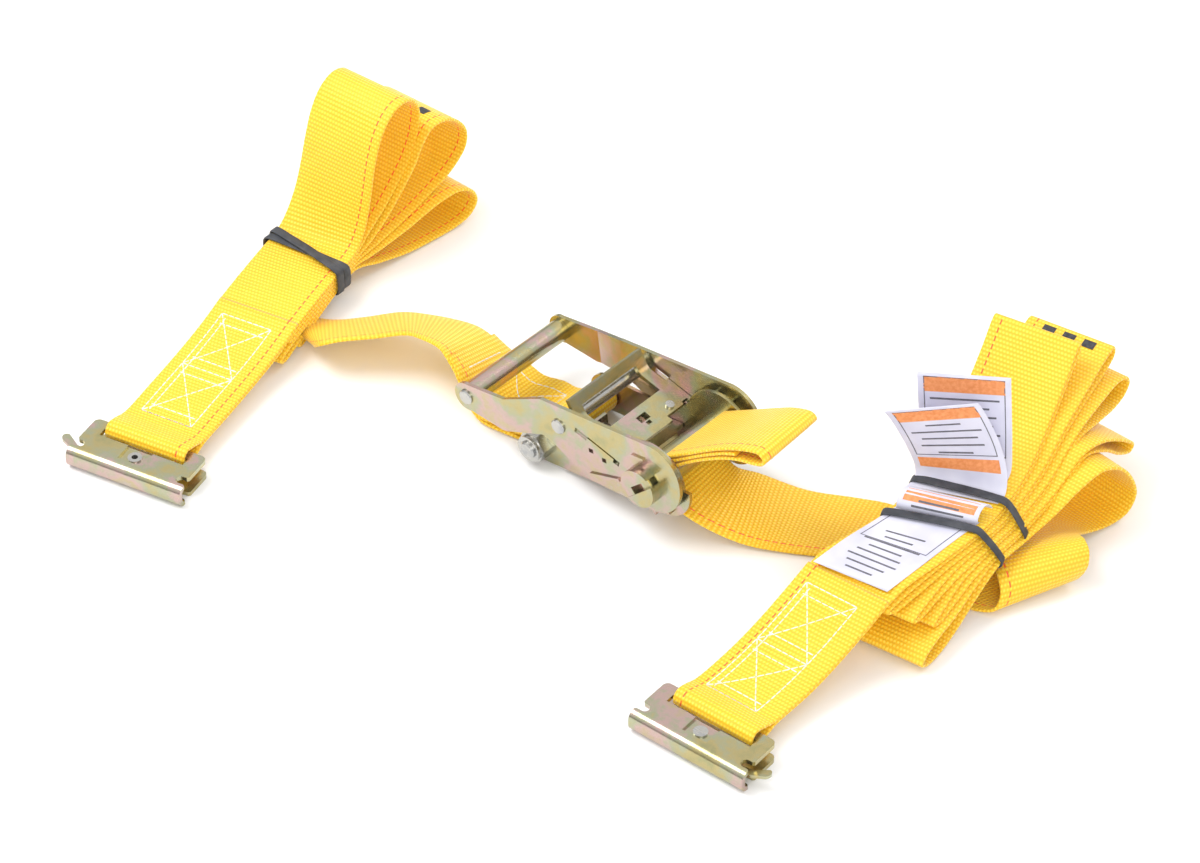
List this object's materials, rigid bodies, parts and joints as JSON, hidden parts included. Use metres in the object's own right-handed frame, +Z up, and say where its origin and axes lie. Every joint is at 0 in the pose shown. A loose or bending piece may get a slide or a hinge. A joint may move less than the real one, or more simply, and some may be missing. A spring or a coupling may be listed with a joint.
{
  "type": "ratchet tie down",
  "caption": "Ratchet tensioner with a folded long strap and a folded short strap, each ending in a spring-latched E-track fitting; cloth labels and rubber bands.",
  "frame": {"origin": "on the floor under the middle of the bounding box", "axes": "+Z up, +X along the ratchet from the grip towards the spindle, +Y away from the two fittings' noses"},
  "size_m": [0.504, 0.384, 0.102],
  "materials": {
    "yellow_zinc": "yellow chromate zinc plate, iridescent, satin",
    "bright_zinc": "zinc plate, satin",
    "spring_steel": "plain spring wire",
    "webbing": "woven polyester, slight sheen",
    "rubber_band": "matte black rubber",
    "label": "white satin label cloth"
  },
  "bodies": {
    "ratchet_frame": {"frame": "yellow_zinc", "anchor_bolt": "bright_zinc", "anchor_nut": "bright_zinc", "anchor_sleeve": "yellow_zinc", "lock_pawl_spring": "spring_steel", "short_strap_lead": "webbing", "short_strap_folds": "webbing", "short_strap_loop_top": "webbing", "short_strap_loop_middle": "webbing", "short_strap_loop_low": "webbing", "short_strap_run": "webbing", "short_strap_eye": "webbing", "long_strap_tail": "webbing", "long_strap_run": "webbing", "long_strap_turn": "webbing", "long_strap_folds_low": "webbing", "long_strap_folds_high": "webbing", "long_strap_loop_top": "webbing", "long_strap_loop_middle": "webbing", "long_strap_loop_low": "webbing", "long_strap_lead": "webbing", "band_left": "rubber_band", "band_right_front": "rubber_band", "band_right_rear": "rubber_band", "label_flat": "label", "label_curled": "label", "label_standing_front": "label", "label_standing_rear": "label"},
    "lock_pawl": {"lock_pawl": "yellow_zinc"},
    "spindle": {"mandrel_upper": "yellow_zinc", "mandrel_lower": "yellow_zinc", "ratchet_wheel_near": "yellow_zinc", "ratchet_wheel_far": "yellow_zinc", "spindle_key": "yellow_zinc", "spindle_washer": "yellow_zinc", "spindle_pin": "bright_zinc", "long_strap_core": "webbing"},
    "handle": {"handle": "yellow_zinc", "grip_tube": "yellow_zinc", "grip_rod": "bright_zinc", "cross_rod": "bright_zinc", "drive_pawl_spring": "spring_steel"},
    "drive_pawl": {"drive_pawl": "yellow_zinc", "pawl_rivet": "bright_zinc"},
    "fitting_left": {"fitting_left_body": "yellow_zinc", "fitting_left_rivet": "bright_zinc", "fitting_left_spring": "spring_steel"},
    "fitting_right": {"fitting_right_body": "yellow_zinc", "fitting_right_rivet": "bright_zinc", "fitting_right_spring": "spring_steel"},
    "latch_left": {"fitting_left_latch": "yellow_zinc"},
    "latch_right": {"fitting_right_latch": "yellow_zinc"}
  },
  "joints": [
    {"name": "spindle_turn", "type": "hinge", "parent": "ratchet_frame", "child": "spindle", "pos_m": [0.05759, 0.00436, 0.031], "axis": [0, 1, 0], "continuous": true},
    {"name": "handle_swing", "type": "hinge", "parent": "ratchet_frame", "child": "handle", "pos_m": [0.05759, 0.00436, 0.031], "axis": [0, 1, 0], "range_deg": [0, 100]},
    {"name": "drive_pawl_slide", "type": "slide", "parent": "handle", "child": "drive_pawl", "axis": [-0.9767, 0, 0.2147], "range_m": [0, 0.007], "stiffness_N_per_m": 250, "springref_m": -0.012, "deforming": ["drive_pawl_spring"]},
    {"name": "lock_pawl_slide", "type": "slide", "parent": "ratchet_frame", "child": "lock_pawl", "axis": [-0.9903, 0, -0.1392], "range_m": [0, 0.005], "stiffness_N_per_m": 250, "springref_m": -0.012, "deforming": ["lock_pawl_spring"]},
    {"name": "fitting_left_swing", "type": "hinge", "parent": "ratchet_frame", "child": "fitting_left", "pos_m": [-0.17123, -0.15793, 0.01115], "axis": [-0.9724, -0.2334, 0], "range_deg": [0, 60]},
    {"name": "fitting_right_swing", "type": "hinge", "parent": "ratchet_frame", "child": "fitting_right", "pos_m": [0.1821, -0.11673, 0.01115], "axis": [-0.9986, -0.0523, 0], "range_deg": [0, 60]},
    {"name": "latch_left_swing", "type": "hinge", "parent": "fitting_left", "child": "latch_left", "pos_m": [-0.16795, -0.17159, 0.006], "axis": [0, 0, -1], "range_deg": [0, 12], "stiffness_Nm_per_rad": 0.05, "springref_deg": -34.38},
    {"name": "latch_right_swing", "type": "hinge", "parent": "fitting_right", "child": "latch_right", "pos_m": [0.18283, -0.13076, 0.006], "axis": [0, 0, 1], "range_deg": [0, 12], "stiffness_Nm_per_rad": 0.05, "springref_deg": -34.38}
  ]
}
